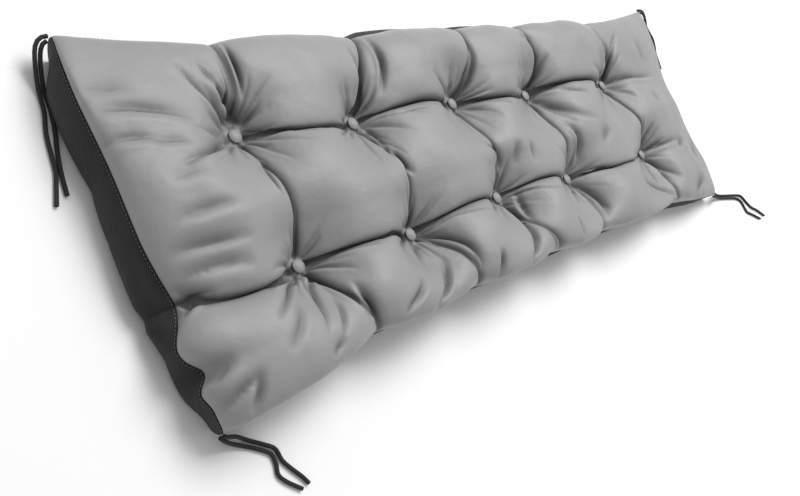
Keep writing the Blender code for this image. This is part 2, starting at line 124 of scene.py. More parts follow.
# The sides of the cushion: how far the seam bows out and rises between two valley ends, how much the outer
# cells' flanks stand up, or lie flat below 0, and how far the seam bows out beside a corner
FOOT = {"bow": 0.004, "rise": 0.004, "fullness": 0.5, "corner_bow": 0.003}
HEAD = {"bow": 0.006, "rise": 0.006, "fullness": 0.2, "corner_bow": -0.006}
LEFT = {"bow": 0.011, "rise": 0.006, "fullness": 0.2, "corner_bow": 0.011}
RIGHT = {"bow": 0.006, "rise": 0.004, "fullness": -0.4, "corner_bow": 0.006}
# How far the panel swells out past the seam, for each cell along a side, from the left or from the foot
FOOT_OVERHANG = (0.026, 0.024, 0.024, 0.024, 0.024, 0.020)
HEAD_OVERHANG = (0.014, 0.012, 0.004, 0.004, 0.010, 0.008)
LEFT_OVERHANG = (0.020, 0.004, 0.026)
VALLEY_OVERHANG = 0.66  # the least share of it at the valleys in the foot row
# How far the cover stands out below the seam: place along the side, x or y, and distance
FOOT_BULGE = ((-0.75, 0.001), (0.75, 0.001))
HEAD_BULGE = (
    (-0.70, 0.010),
    (-0.30, 0.010),
    (-0.24, 0.021),
    (0.10, 0.018),
    (0.18, 0.014),
    (0.28, 0.006),
    (0.70, 0.002),
)
LEFT_BULGE = (
    (-0.255, 0.000),
    (-0.197, 0.008),
    (-0.150, 0.010),
    (-0.115, 0.027),
    (-0.083, 0.029),
    (-0.004, 0.012),
    (0.219, 0.009),
)
RIGHT_BULGE = ((-0.25, 0.010), (0.25, 0.010))
# Waves of the left seam: y, distance in +X, half width
LEFT_WAVES = ((-0.150, -0.014, 0.024), (-0.183, 0.012, 0.012), (-0.206, -0.006, 0.012))
WAVE_REACH = 0.05  # how far into the panel they run

# Height of each cell's crown above the floor: three rows from foot to head, six cells each
CROWN_Z = (
    (0.100, 0.108, 0.110, 0.108, 0.108, 0.082),
    (0.105, 0.110, 0.107, 0.105, 0.105, 0.088),
    (0.076, 0.094, 0.106, 0.103, 0.105, 0.082),
)
CROWN_POWER = 0.60  # below 1 the cells are full, with steep flanks
RIGHT_CROWN_POWER = 1.1  # along the cells of the right end, which fall away to a thin edge
OVERHANG_POWER = 0.35  # how fast the overhang rises beside a valley: lower is faster

# Creases in the panel, in millimetres: x and y of the start, heading in degrees from +X towards +Y, length,
# bow to the left of the heading, half width, and depth, which is below 0 for a ridge
CREASES = (
    # around the first column's head tuft
    (-566, 104, 126, 104, 14, 6, 16),
    (-552, 106, 118, 72, 6, 6, 13),
    (-553, 108, 92, 88, 7, 6, 8),
    (-560, 99, 95, 46, 2, 6, 9),
    (-546, 100, 38, 36, 0, 4, 7),
    (-543, 92, -18, 90, -4, 3, 4),
    (-545, 86, -26, 84, -5, 3, 4),
    (-548, 80, -60, 60, 1, 4, 4),
    (-573, 84, -163, 122, 6, 7, 13),
    (-568, 79, -148, 42, 2, 4, 6),
    (-580, 90, 174, 70, 6, 5, 4),
    # around the first column's foot tuft
    (-545, -108, -70, 98, -2, 6, 15),
    (-545, -118, -122, 98, -3, 4, 9),
    (-558, -110, -152, 112, -3, 5, 13),
    (-566, -106, -168, 72, 2, 4, 7),
    (-564, -100, -178, 60, -4, 3, 4),
    (-536, -102, -6, 96, 3, 3, 5),
    (-538, -106, -32, 52, 3, 4, 6),
    (-548, -84, 100, 40, 0, 4, 4),
    # around the second column's tufts
    (-334, 96, 84, 92, -7, 6, 14),
    (-348, 92, 128, 46, 3, 5, 6),
    (-326, 90, 50, 42, -3, 4, 6),
    (-328, 74, -98, 66, 9, 4, 6),
    (-324, 76, -10, 110, 6, 3, 4),
    (-326, 72, -36, 66, 3, 4, 5),
    (-356, 78, -174, 84, 5, 4, 5),
    (-314, -113, -61, 98, 17, 6, 16),
    (-328, -118, -124, 40, 0, 4, 7),
    (-312, -102, -6, 130, 4, 3, 5),
    (-338, -108, 178, 92, -3, 4, 5),
    (-340, -112, -162, 60, 2, 4, 5),
    # around the third column's tufts
    (-104, 98, 158, 84, 10, 5, 12),
    (-92, 101, 108, 46, 0, 4, 6),
    (-80, 98, 66, 92, -15, 6, 13),
    (-80, 84, -15, 108, -3, 4, 7),
    (-82, 78, -44, 66, 4, 4, 6),
    (-104, 84, -176, 92, 6, 4, 5),
    (-80, -103, -106, 94, 8, 6, 15),
    (-100, -100, -160, 74, 2, 4, 6),
    (-78, -96, -14, 112, 6, 4, 6),
    (-82, -80, 62, 40, 0, 4, 4),
    # around the fourth column's tufts
    (146, 92, 106, 98, -27, 6, 14),
    (145, 90, 46, 66, 3, 5, 11),
    (146, 82, -10, 104, 1, 5, 9),
    (144, 74, -40, 132, -20, 6, 10),
    (140, 68, -62, 88, -4, 4, 6),
    (120, 82, 178, 66, -6, 4, 5),
    (148, -106, -93, 92, 15, 6, 13),
    (140, -110, -122, 50, 0, 4, 6),
    (152, -98, -10, 96, 4, 4, 6),
    (146, -86, 72, 52, -4, 4, 6),
    (126, -102, -172, 70, 2, 4, 5),
    # around the fifth column's tufts
    (444, 87, 114, 112, -15, 6, 15),
    (446, 85, 52, 112, 11, 5, 12),
    (424, 85, 170, 100, 0, 4, 6),
    (446, 76, -3, 172, -4, 6, 8),
    (442, 66, -52, 60, 3, 4, 5),
    (416, 72, -170, 96, -3, 4, 6),
    (464, -85, 55, 52, 5, 5, 8),
    (470, -91, 1, 128, -2, 5, 12),
    (464, -106, -62, 84, -6, 5, 12),
    (450, -108, -104, 64, 0, 5, 8),
    (440, -98, 178, 96, 4, 4, 6),
)
# Folds and wrinkles that start at no tuft, in the same columns
WRINKLES = (
    # short folds
    (-542, 130, 88, 84, 0, 4, 10),
    (-566, 134, 120, 60, 4, 5, -8),
    (-548, 44, -100, 64, -14, 5, 9),
    (-508, -146, -78, 74, -8, 6, 13),
    (-544, -152, -119, 70, 3, 5, 6),
    (-606, -146, -134, 78, 4, 8, 5),
    (-600, -227, 28, 34, 0, 7, 5),
    (-272, 206, -104, 104, 9, 6, 12),
    (-277, 69, -1, 62, 6, 3, 6),
    (-319, 24, -78, 54, -10, 5, 10),
    (-308, -151, -139, 112, 9, 5, 13),
    (-391, -175, -150, 78, 4, 6, 10),
    (-120, -4, -50, 68, 8, 4, 8),
    (-36, -14, -116, 44, 0, 9, 5),
    (-78, -153, -136, 92, 6, 5, 12),
    (-53, -88, -104, 66, 0, 5, 7),
    (36, -172, -101, 42, 0, 6, 7),
    (-221, -177, -110, 42, 5, 7, 8),
    (150, 8, -84, 96, 14, 4, 11),
    (276, 47, 167, 90, -1, 4, 7),
    (-2, -18, -98, 42, 0, 10, 5),
    (282, -32, -155, 62, 0, 10, 5),
    (158, -128, -85, 58, 0, 4, 7),
    (360, -152, -29, 122, 5, 6, 12),
    (322, -146, -43, 60, 0, 5, 7),
    (644, -192, -164, 106, 0, 12, 6),
    # long soft wrinkles from the left edge
    (-768, 166, -10, 74, 2, 11, 3),
    (-765, 134, -14, 136, 9, 11, 6),
    (-764, 92, -6, 70, 4, 9, 5),
    (-712, 82, -8, 56, 2, 8, 4),
    (-716, 30, 8, 64, 1, 11, 3),
    (-735, -20, 2, 104, 5, 11, 5),
    (-748, -48, -4, 112, -2, 11, 6),
    (-742, -79, -6, 100, 5, 11, 5),
    (-748, -78, -35, 60, -8, 8, 4),
    (-703, -205, -114, 46, 4, 8, 6),
    (-751, -234, 22, 64, 3, 9, 5),
    (-756, -122, 20, 54, 5, 5, 6),
    (-752, -201, 26, 40, 2, 8, 4),
    # at the right end
    (540, 30, -70, 34, 0, 9, 3),
    (570, -108, 20, 60, -3, 9, 5),
    (600, 160, -100, 60, 6, 13, 3),
    (640, -150, 40, 70, 6, 12, 4),
)
NARROWER = 0.72  # width of the folds at the left, as a share of the half widths above
NARROW_LEFT, WIDE_RIGHT = -300, 200  # mm: up to where they are so narrow, and from where they are full
TROUGH_POWER = 1.3  # how round a fold's bottom is: lower is sharper
HOLLOW = 0.20  # depth of the wide hollow that a fold lies in, as a share of its own
HOLLOW_WIDTH = 3.4  # in half widths
FOLD_LIP = 0.19  # height of the raised lip beside a fold, as a share of its depth
LIP_PLACE = 1.7  # how far from the fold it lies, in half widths
LIP_WIDTH = 0.8
LIP_LEAN = 0.8  # how much higher it is on the fold's overlying side, and lower on the other
FOLD_REACH = 6  # how far a fold reaches, in half widths
ARC_POINTS, VALLEY_POINTS = 12, 16  # points along the line of a fold and of a valley
EDGE_FADE = 0.012  # folds and unevenness fade out this close to the seam
AT_A_TUFT = 0.55  # strength of a crease where it leaves its tuft
TUFT_GAIN = 2  # how fast it gains its full strength
RUN_OUT, RUN_OUT_ROUND = 1.8, 0.8  # how late and how roundly it runs out

# How deeply the cloth is drawn in along the valleys: two rows of six links, and five columns of three
ROW_PINCHES = (
    (0.008, 0.010, 0.010, 0.010, 0.010, 0.000),
    (0.000, 0.010, 0.010, 0.010, 0.010, 0.000),
)
COLUMN_PINCHES = (
    (0.006, 0.007, 0.002),
    (0.006, 0.008, 0.009),
    (0.006, 0.008, 0.008),
    (0.006, 0.008, 0.009),
    (0.006, 0.008, 0.010),
)
PINCH_WIDTH = 0.004  # half width of the trough there
PINCH_SHARE = 0.6  # its depth, as a share of the depths above
FULL_LEAN = 0.010  # depth of a valley whose cells lean over it in full
LEAN_REACH = 0.045  # how far beside a valley its cells lean towards it
LEAN_POWER = 1.8  # how strongly: higher is stronger
LEAN_OVER = 0.003  # how far they hang over it
LEAN_ENDS = 0.15  # the lean fades out over this share of a line's length at each end
LIES_OVER = (-0.56, -0.82)  # direction from which the cloth lies over a fold
LEAN_TURN = 1.5  # how soon a fold that turns towards that direction has its full lean
STEEPER = 0.62  # how much steeper a fold's overlying side is than its other side
SHORT_REACH = 2.0  # how far beside a fold the cloth leans towards it, in half widths
LONG_REACH = 2.4  # the same for a deep fold
DEEP_FOLD = 0.0115  # depth from which a fold is a deep one
FOLD_OVER = 0.06  # how far the cloth hangs over a fold, as a share of its depth

# Painted shade inside folds and valleys: the cloth's colour is darkened there in place of the shade of the
# creases
VALLEY_PAINTED_SHADE = 0.0040  # its half width in a valley
FULL_PAINTED_SHADE = 0.008  # depth of a fold whose painted shade is as dark as any
FOLD_PAINTED_SHADE = 0.85  # how much of the cloth's colour the painted shade takes away there
PAINTED_SHADE_SKEW_OVER = 0.75  # how much narrower the painted shade is on a fold's overlying side
PAINTED_SHADE_SKEW_UNDER = 0.9  # how much wider it is on the other side
PAINTED_SHADE_POWER = 1.8  # how sharply it ends
PAINTED_SHADE_REACH = 5  # how far it reaches, in half widths

# Where the filling bridges a valley, in millimetres: x and y of the start, heading in degrees, length, half
# width, and passes of smoothing
BRIDGES = (
    (-760, 66, 2, 160, 60, 500),
    (510, 68, -3, 220, 45, 400),
    (540, -84, 2, 190, 45, 400),
)

# The funnel that the panel opens into round a tuft
FUNNEL_SLOPE = 0.66  # at the button
FUNNEL_CURVE = 4.4  # how it steepens, for each metre away
FUNNEL_BLEND = 0.004  # how softly it runs into the cells
FUNNEL_EASE = 0.12  # how much more softly for each metre away from the button, as far as FUNNEL_EASED
FUNNEL_EASED = 0.09
# How much shallower each funnel is towards the foot and the left, foot side first
FUNNEL_DRAWN = ((0.15, 0.20), (0.30, 0.30), (0.35, 0.40), (0.50, 0.60), (0.65, 0.65))
TOWARDS_FOOT_LEFT = (-0.6, -0.8)
SEAT_RADIUS = 0.010  # flat patch of the panel under a button
SEAT_EDGE = 0.008  # width of the slope round it
SEAT_DEPTH = 0.001  # how far it lies below the tuft's height
RELAX = 0.4  # how far each point moves to the mean of its neighbours when the panel is evened out

# Fine pleats round each tuft, in millimetres and degrees
GATHER_SEED = 11
GATHERS = 14
GATHER_START = 12  # distance from the tuft's middle
GATHER_LENGTHS = (28, 78)
GATHER_BOWS = (-3, 3)
GATHER_SPREAD = 0.3  # unevenness of their spacing, as a share of it
GATHER_SWERVES = (-12, 12)
GATHER_DEPTHS = (0.0025, 0.0060)  # metres
GATHER_WIDTH = 0.0023  # half width, in metres

# Unevenness of the panel
RUMPLE_SEED = 7
RUMPLE_WAVES = 40
RUMPLE_LENGTHS = (0.05, 0.16)  # of its waves, from one crest to the next
RUMPLE_HEIGHT = 0.0009

# The cover below the seam, from the seam down: share of the seam's height, and share of the bulge there
SIDE_PROFILE = (
    (1.0, 0.0),
    (0.95, 0.16),
    (0.86, 0.46),
    (0.70, 0.84),
    (0.52, 0.98),
    (0.34, 0.96),
    (0.18, 0.74),
    (0.07, 0.34),
    (0.0, -0.30),
)
CORNER_REACH = 0.070  # the bulge fades out this close to a corner
CORNER_TUCK = 0.014  # how far the floor patch lies inside a corner
TUCK_POWER = 1.5  # above 1 most of the tuck is close to the floor
FLOOR_INSET = 1.3  # how much further the inner face is drawn in at the floor than elsewhere

# The row of stitches along the seam
STITCH_PLACE = 0.45  # its place between the cover's first two rings
STITCH_PITCH = 0.0050
STITCH_SIZE = (0.0026, 0.0008, 0.0004)  # length, width and thickness

# Ties, two strands at each corner, from the corner to the free end: x, y and z of the centre line in mm
TIES = {
    "tie_foot_left_a": (
        (-740, -256.8, 32.5), (-733, -260, 29), (-715, -264, 16.5),
        (-695, -274, 4.5), (-676, -287, FLOOR), (-663.5, -298, FLOOR),
        (-661, -314, FLOOR), (-652, -330, FLOOR), (-644, -342, FLOOR),
        (-638, -354, FLOOR),
    ),
    "tie_foot_left_b": (
        (-741, -256.8, 26.2), (-735, -262.5, 21.5), (-718, -270.5, 9),
        (-698, -281, 3.2), (-680, -293.5, FLOOR), (-671.5, -302, FLOOR),
        (-671, -315, FLOOR), (-674, -327, FLOOR), (-667, -339, FLOOR),
        (-650, -356, FLOOR),
    ),
    "tie_foot_right_a": (
        (736.8, -235, 24), (756, -236, 21.5), (785, -239, 10),
        (820, -246, 3.5), (865, -254, FLOOR), (905, -261, FLOOR),
        (935, -269, FLOOR), (948, -288, FLOOR), (964, -307, FLOOR),
        (988, -320, FLOOR), (1016, -342, FLOOR),
    ),
    "tie_foot_right_b": (
        (736.8, -241.2, 24), (756, -243, 20.5), (783, -246, 9),
        (818, -253, 3.5), (862, -261, FLOOR), (900, -269, FLOOR),
        (920, -280, FLOOR), (924, -299, FLOOR), (926, -312, FLOOR),
        (948, -324, FLOOR), (984, -344, FLOOR),
    ),
    "tie_head_left_a": (
        (-751, 254, 34), (-760.5, 252.5, 32.5), (-767.5, 244, 27.5),
        (-771, 225, 18), (-772, 202, 6), (-773, 185, FLOOR),
        (-775.5, 170, FLOOR), (-783, 145, FLOOR), (-787, 119, FLOOR),
        (-790, 98, FLOOR), (-797, 78, FLOOR), (-805, 57, FLOOR),
    ),
    "tie_head_left_b": (
        (-754.2, 247.6, 34), (-759.2, 245.2, 31.5), (-762.5, 238, 25.5),
        (-764.5, 223, 16.5), (-765.5, 201, 5.5), (-765.5, 185, FLOOR),
        (-767, 169, FLOOR), (-772, 145, FLOOR), (-779, 120, FLOOR),
        (-783.5, 99, FLOOR), (-786, 83, FLOOR), (-788, 67, FLOOR),
    ),
    "tie_head_right_a": (
        (764.6, 250, 46), (790, 251, 43.5), (815, 247, 36),
        (840, 237, 23), (860, 224, 9), (874, 208, 3.5),
        (876, 190, FLOOR), (866, 170, FLOOR), (852, 150, FLOOR),
        (846, 130, FLOOR), (838, 107, FLOOR),
    ),
    "tie_head_right_b": (
        (764.6, 244, 46), (789, 244, 42.5), (812, 239.5, 35),
        (835, 229, 22), (852, 216, 8), (862, 202, 3.5),
        (864, 186, FLOOR), (857, 170, FLOOR), (842, 155, FLOOR),
        (832, 135, FLOOR), (827, 110, FLOOR),
    ),
}


def link_object(name, data):
    piece = bpy.data.objects.new(name, data)
    bpy.context.scene.collection.objects.link(piece)
    return piece


# Camera


def make_camera():
    lens = bpy.data.cameras.new("camera")
    lens.sensor_width = SENSOR_WIDTH
    lens.lens = CAMERA_LENS
    lens.clip_start = 0.01
    camera = link_object("camera", lens)
    camera.location = CAMERA_PLACE
    camera.rotation_euler = Euler([math.radians(turn) for turn in CAMERA_TURN])
    bpy.context.scene.camera = camera


make_camera()


# Materials


class Nodes:
    """Short names for building one material's node tree."""

    def __init__(self, name):
        self.material = bpy.data.materials.new(name)
        self.material.use_nodes = True
        self.tree = self.material.node_tree
        self.shader = self.tree.nodes["Principled BSDF"]
        self.place = self.add("ShaderNodeTexCoord").outputs["Object"]

    def add(self, kind, inputs=(), **settings):
        node = self.tree.nodes.new(kind)
        for key, value in settings.items():
            setattr(node, key, value)
        for key, value in dict(inputs).items():
            self.feed(node.inputs[key], value)
        return node

    def feed(self, socket, value):
        if isinstance(value, bpy.types.NodeSocket):
            self.tree.links.new(value, socket)
        else:
            socket.default_value = value

    def math(self, operation, *values):
        node = self.add("ShaderNodeMath", operation=operation)
        for socket, value in zip(node.inputs, values):
            self.feed(socket, value)
        return node.outputs[0]

    def noise(self, scale, detail=3.0, roughness=0.5, place=None, stretch=None):
        vector = place or self.place
        if stretch:
            vector = self.add("ShaderNodeMapping", {"Vector": vector, "Scale": stretch}).outputs[0]
        inputs = {"Vector": vector, "Scale": scale, "Detail": detail, "Roughness": roughness}
        return self.add("ShaderNodeTexNoise", inputs).outputs["Fac"]

    def ramp(self, factor, low, high, from_min=0.0, from_max=1.0):
        inputs = {"Value": factor, "From Min": from_min, "From Max": from_max, "To Min": low, "To Max": high}
        return self.add("ShaderNodeMapRange", inputs).outputs["Result"]

    def mix_colour(self, factor, first, second):
        node = self.add("ShaderNodeMix", data_type="RGBA")
        for socket, value in ((node.inputs[0], factor), (node.inputs[6], first), (node.inputs[7], second)):
            self.feed(socket, value)
        return node.outputs[2]

    def bump(self, height, distance, strength=1.0, normal=None):
        inputs = {"Height": height, "Distance": distance, "Strength": strength}
        if normal:
            inputs["Normal"] = normal
        return self.add("ShaderNodeBump", inputs).outputs["Normal"]

    def finish(self, **inputs):
        """Feeds the shader's inputs, named with underscores for spaces, and gives the material."""
        for key, value in inputs.items():
            self.feed(self.shader.inputs[key.replace("_", " ")], value)
        return self.material

    def twill(self, pitch, tilt=45.0):
        """Diagonal ribs of a twill weave, pitch apart."""
        turn = (0.5, 0.35, math.radians(tilt))
        turned = self.add("ShaderNodeMapping", {"Vector": self.place, "Rotation": turn}).outputs[0]
        inputs = {"Vector": turned, "Scale": math.pi / (10 * pitch), "Distortion": 0.35, "Detail": 2.0}
        return self.add("ShaderNodeTexWave", inputs, wave_profile="SIN", bands_direction="X").outputs["Fac"]


def grey_satin():
    n = Nodes("grey_satin")
    mottle = n.noise(9.0, 4.0, 0.6)
    slub = n.noise(60.0, 3.0, 0.6, stretch=(1.0, 12.0, 1.0))
    fade = n.math("ADD", n.math("MULTIPLY", mottle, 0.7), n.math("MULTIPLY", slub, 0.3))
    worn, fresh, fold_shade_colour = (0.256, 0.256, 0.258, 1), (0.284, 0.284, 0.286, 1), (0.022, 0.022, 0.023, 1)
    colour = n.mix_colour(n.ramp(fade, 0.0, 1.0, 0.35, 0.65), worn, fresh)
    # Painted shade: the panel's fold attribute darkens the satin towards a near black inside its folds and
    # valleys
    fold = n.add("ShaderNodeAttribute", attribute_name="fold").outputs["Fac"]
    colour = n.mix_colour(n.math("MULTIPLY", fold, FOLD_PAINTED_SHADE), colour, fold_shade_colour)
    return n.finish(
        Base_Color=colour,
        Roughness=n.ramp(mottle, 0.42, 0.50, 0.3, 0.7),
        Specular_IOR_Level=0.4,
        Sheen_Weight=0.08,
        Sheen_Roughness=0.45,
        Normal=n.bump(n.twill(0.0009, 38.0), 0.00012, 0.5, n.bump(n.noise(16.0, 3.0, 0.5), 0.006, 0.6)),
    )


def charcoal_twill():
    n = Nodes("charcoal_twill")
    weave = n.twill(0.0022, 45.0)
    dust = n.noise(14.0, 4.0, 0.6)
    shade = n.math("MULTIPLY", weave, n.ramp(dust, 0.6, 1.0, 0.3, 0.7))
    colour = n.mix_colour(shade, (0.013, 0.013, 0.014, 1), (0.044, 0.044, 0.046, 1))
    return n.finish(
        Base_Color=colour,
        Roughness=0.82,
        Specular_IOR_Level=0.25,
        Sheen_Weight=0.06,
        Normal=n.bump(weave, 0.0005, 0.7, n.bump(n.noise(22.0, 3.0, 0.5), 0.003, 0.5)),
    )


def black_cord():
    n = Nodes("black_cord")
    braid = n.noise(420.0, 2.0, 0.5)
    colour = n.mix_colour(braid, (0.006, 0.006, 0.007, 1), (0.022, 0.022, 0.024, 1))
    return n.finish(Base_Color=colour, Roughness=0.8, Normal=n.bump(braid, 0.0006, 0.8))


def pale_thread():
    n = Nodes("pale_thread")
    tuft = n.noise(700.0, 2.0, 0.5)
    colour = n.mix_colour(tuft, (0.16, 0.16, 0.16, 1), (0.28, 0.28, 0.27, 1))
    return n.finish(Base_Color=colour, Roughness=0.6, Normal=n.bump(tuft, 0.0002, 0.5))


# Ties


def distances_along(points):
    """How far along a line of points each of them is."""
    return np.concatenate([[0], np.cumsum(np.linalg.norm(np.diff(points, axis=0), axis=1))])


def points_at(stops, distances, points, period=None):
    """The points of a line at the given distances along it."""
    axes = range(points.shape[1])
    return np.stack([np.interp(stops, distances, points[:, axis], period=period) for axis in axes], axis=1)


def smooth_route(route, count):
    """Points evenly along a Catmull-Rom curve through the route's points."""
    route = np.array(route)
    padded = np.concatenate([[2 * route[0] - route[1]], route, [2 * route[-1] - route[-2]]])
    fine = []
    for before, start, end, after in zip(padded, padded[1:], padded[2:], padded[3:]):
        for t in np.linspace(0, 1, ROUTE_STEPS, endpoint=False):
            square = (2 * before - 5 * start + 4 * end - after) * t**2
            cube = (3 * start - before - 3 * end + after) * t**3
            fine.append(0.5 * (2 * start + (end - before) * t + square + cube))
    fine = np.array(fine + [route[-1]])
    fine[:, 2] = np.maximum(fine[:, 2], FLOOR / 1000)
    distances = distances_along(fine)
    points = points_at(np.linspace(0, distances[-1], count), distances, fine)
    return points, float(distances_along(points)[-1])


def make_ties(material):
    for name, millimetres in TIES.items():
        route = [[round(axis / 1000, 4) for axis in point] for point in millimetres]
        points, length = smooth_route(route, TIE_POINTS)
        curve = bpy.data.curves.new(name + "_cloth", "CURVE")
        curve.dimensions = "3D"
        curve.bevel_depth = TIE_DIAMETER / 2
        curve.bevel_resolution = 3
        curve.use_fill_caps = True
        spline = curve.splines.new("POLY")
        spline.points.add(len(points) - 1)
        for spot, point in zip(spline.points, points):
            spot.co = (*point, 1.0)
        spline.use_smooth = True
        curve.materials.append(material)
        tie = link_object(name + "_cloth", curve)
        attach(tie, "root")
        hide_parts(name)
        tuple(route[0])


make_ties(black_cord())


# Surface of the front panel


def hump(share):
    """0 at both ends of a cell or a link and 1 at its middle."""
    return 4 * share * (1 - share)


def ease(share):
    """From 0 to 1, level at both ends."""
    return share * share * (3 - 2 * share)


def swell(share):
    """0 at both ends and 1 at a third of the way: where the panel swells out above the seam."""
    return 6.75 * share * (1 - share) ** 2


def link(start, end, bow, middle_z, sideways, shares):
    """A curve between two points of the seam or tufts, which bows along the axis sideways and arches to
    middle_z."""
    start, end = np.array(start), np.array(end)
    points = start + (end - start) * shares[:, None]
    points[:, sideways] += bow * hump(shares)
    points[:, 2] += (middle_z - (start[2] + end[2]) / 2) * hump(shares) ** LINK_POWER
    return points


def lattice():
    """The 7 x 4 points where the seam and the valleys meet, by column and row."""
    points = np.zeros((7, 4, 3))
    points[0, 0], points[6, 0] = FOOT_LEFT, FOOT_RIGHT
    points[0, 3], points[6, 3] = HEAD_LEFT, HEAD_RIGHT
    for row, (left, right) in enumerate(ROW_ENDS, start=1):
        points[0, row], points[6, row] = left, right
    for column, ((foot, head), ends) in enumerate(zip(TUFTS, COLUMN_ENDS), start=1):
        points[column, 0] = (*ends[0], FOOT_VALLEY_Z)
        points[column, 1] = (*foot, TUFT_Z)
        points[column, 2] = (*head, TUFT_Z)
        points[column, 3] = (*ends[1], HEAD_VALLEY_Z)
    return points


def row_link(points, column, row, shares):
    """The boundary between two rows of cells, or the seam on a long edge."""
    start, end = points[column, row], points[column + 1, row]
    if row in (1, 2):
        bow, middle_z = ROW_LINKS[row - 1][column]
    else:
        side, outwards = (FOOT, -1) if row == 0 else (HEAD, 1)
        bow = outwards * side["corner_bow" if column in (0, 5) else "bow"]
        middle_z = max(start[2], end[2]) + side["rise"]
    return link(start, end, bow, middle_z, 1, shares)


def column_link(points, column, row, shares):
    """The boundary between two columns of cells, or the seam on a short edge."""
    start, end = points[column, row], points[column, row + 1]
    if 0 < column < 6:
        bow, middle_z = COLUMN_LINKS[column - 1][row]
    else:
        side, outwards = (LEFT, -1) if column == 0 else (RIGHT, 1)
        bow = outwards * side["corner_bow" if row in (0, 2) else "bow"]
        middle_z = max(start[2], end[2]) + side["rise"]
    return link(start, end, bow, middle_z, 0, shares)


def fuller_at_seam(shares, first_side, last_side):
    """Shares along a cell, changed where it meets a side's seam, so that its flank stands up or lies flat."""
    if first_side:
        return shares * (1 - first_side["fullness"] * (1 - shares))
    if last_side:
        return 1 - (1 - shares) * (1 - last_side["fullness"] * shares)
    return shares


def patch(points, column, row, across, along):
    """A cell's surface between its four boundary links, without its crown. across and along are shares."""
    foot = row_link(points, column, row, across)[:, None]
    head = row_link(points, column, row + 1, across)[:, None]
    left = column_link(points, column, row, along)[None]
    right = column_link(points, column + 1, row, along)[None]
    u, v = across[:, None, None], along[None, :, None]
    corners = (
        (1 - u) * (1 - v) * points[column, row]
        + u * (1 - v) * points[column + 1, row]
        + (1 - u) * v * points[column, row + 1]
        + u * v * points[column + 1, row + 1]
    )
    return (1 - v) * foot + v * head + (1 - u) * left + u * right - corners


def cell(points, column, row, across, along):
    """A grid of points over one crowned cell."""
    fuller_across = fuller_at_seam(across, LEFT if column == 0 else None, RIGHT if column == 5 else None)
    fuller_along = fuller_at_seam(along, FOOT if row == 0 else None, HEAD if row == 2 else None)
    flat = patch(points, column, row, fuller_across, fuller_along)
    surface = patch(points, column, row, across, along)
    surface[..., :2] = flat[..., :2]
    middle = np.array([0.5])
    crown = CROWN_Z[row][column] - patch(points, column, row, middle, middle)[0, 0, 2]
    u, v = across[:, None], along[None]
    power = RIGHT_CROWN_POWER if column == 5 else CROWN_POWER
    surface[..., 2] += crown * hump(u) ** power * hump(v) ** CROWN_POWER
    beside_u, beside_v = hump(u) ** OVERHANG_POWER, hump(v) ** OVERHANG_POWER
    if row == 0:
        inwards = np.clip(2 * u, 0, 1) if column == 0 else np.clip(2 - 2 * u, 0, 1) if column == 5 else 1
        at_valley = VALLEY_OVERHANG * (FOOT_OVERHANG[1] / FOOT_OVERHANG[column]) * inwards
        surface[..., 1] -= FOOT_OVERHANG[column] * swell(v) * np.maximum(beside_u, at_valley)
    if row == 2:
        surface[..., 1] += HEAD_OVERHANG[column] * swell(1 - v) * beside_u
    if column == 0:
        surface[..., 0] -= LEFT_OVERHANG[row] * swell(u) * beside_v
    return surface


def cell_shares(steps):
    even = np.linspace(0, 1, steps + 1)
    return even - CELL_CROWDING * np.sin(2 * math.pi * even) / (2 * math.pi)


def crowned_panel():
    """All the points of the front panel, left to right and foot to head, before its creases."""
    points = lattice()
    along = cell_shares(CELL_STEPS_Y)
    grid = np.zeros((sum(CELL_STEPS_X) + 1, 3 * CELL_STEPS_Y + 1, 3))
    i = 0
    for column, steps in enumerate(CELL_STEPS_X):
        across = cell_shares(steps)
        for row in range(3):
            j = row * CELL_STEPS_Y
            grid[i : i + steps + 1, j : j + CELL_STEPS_Y + 1] = cell(points, column, row, across, along)
        i += steps
    return grid


def unit(vectors):
    return vectors / np.maximum(np.linalg.norm(vectors, axis=-1, keepdims=True), 1e-12)


def grid_normals(grid):
    return unit(np.cross(np.gradient(grid, axis=0), np.gradient(grid, axis=1)))


def arc(x, y, heading, length, bow):
    """Level points along a shallow arc, in metres."""
    t = np.linspace(0, 1, ARC_POINTS)
    heading = math.radians(heading)
    ahead = np.array((math.cos(heading), math.sin(heading)))
    left = np.array((-ahead[1], ahead[0]))
    points = np.array((x, y)) + t[:, None] * length * ahead + (bow * hump(t))[:, None] * left
    return points / 1000


def from_line(level, line):
    """For each point: its offset from the nearest spot of a level line, how far along the line that spot is,
    0 to 1, and 1 where the point is left of the line or -1 where it is right of it."""
    nearest = np.full(level.shape[:-1], 1e9)
    offset = np.zeros(level.shape)
    share = np.zeros(level.shape[:-1])
    side = np.zeros(level.shape[:-1])
    for k, (start, end) in enumerate(zip(line, line[1:])):
        run = end - start
        part = np.clip(((level - start) @ run) / (run @ run), 0, 1)
        away = level - start - part[..., None] * run
        distance = np.linalg.norm(away, axis=-1)
        closer = distance < nearest
        nearest = np.where(closer, distance, nearest)
        offset = np.where(closer[..., None], away, offset)
        share = np.where(closer, (k + part) / (len(line) - 1), share)
        side = np.where(closer, np.sign(run[0] * away[..., 1] - run[1] * away[..., 0]), side)
    return offset, share, side


def beside(grid, line, reach):
    """Which points are in the level box around a line, reach wider all round, and where they are from it."""
    level = grid[..., :2]
    inside = np.all((level > line.min(0) - reach) & (level < line.max(0) + reach), axis=-1)
    return inside, *from_line(grid[inside][:, :2], line)


def wave_left_seam(grid):
    """Shifts the left seam and the panel beside it in and out."""
    for y, distance, half_width in LEFT_WAVES:
        along = np.exp(-(((grid[..., 1] - y) / half_width) ** 2))
        inwards = np.exp(-(((grid[..., 0] - FOOT_LEFT[0]) / WAVE_REACH) ** 2))
        grid[..., 0] += distance * along * inwards


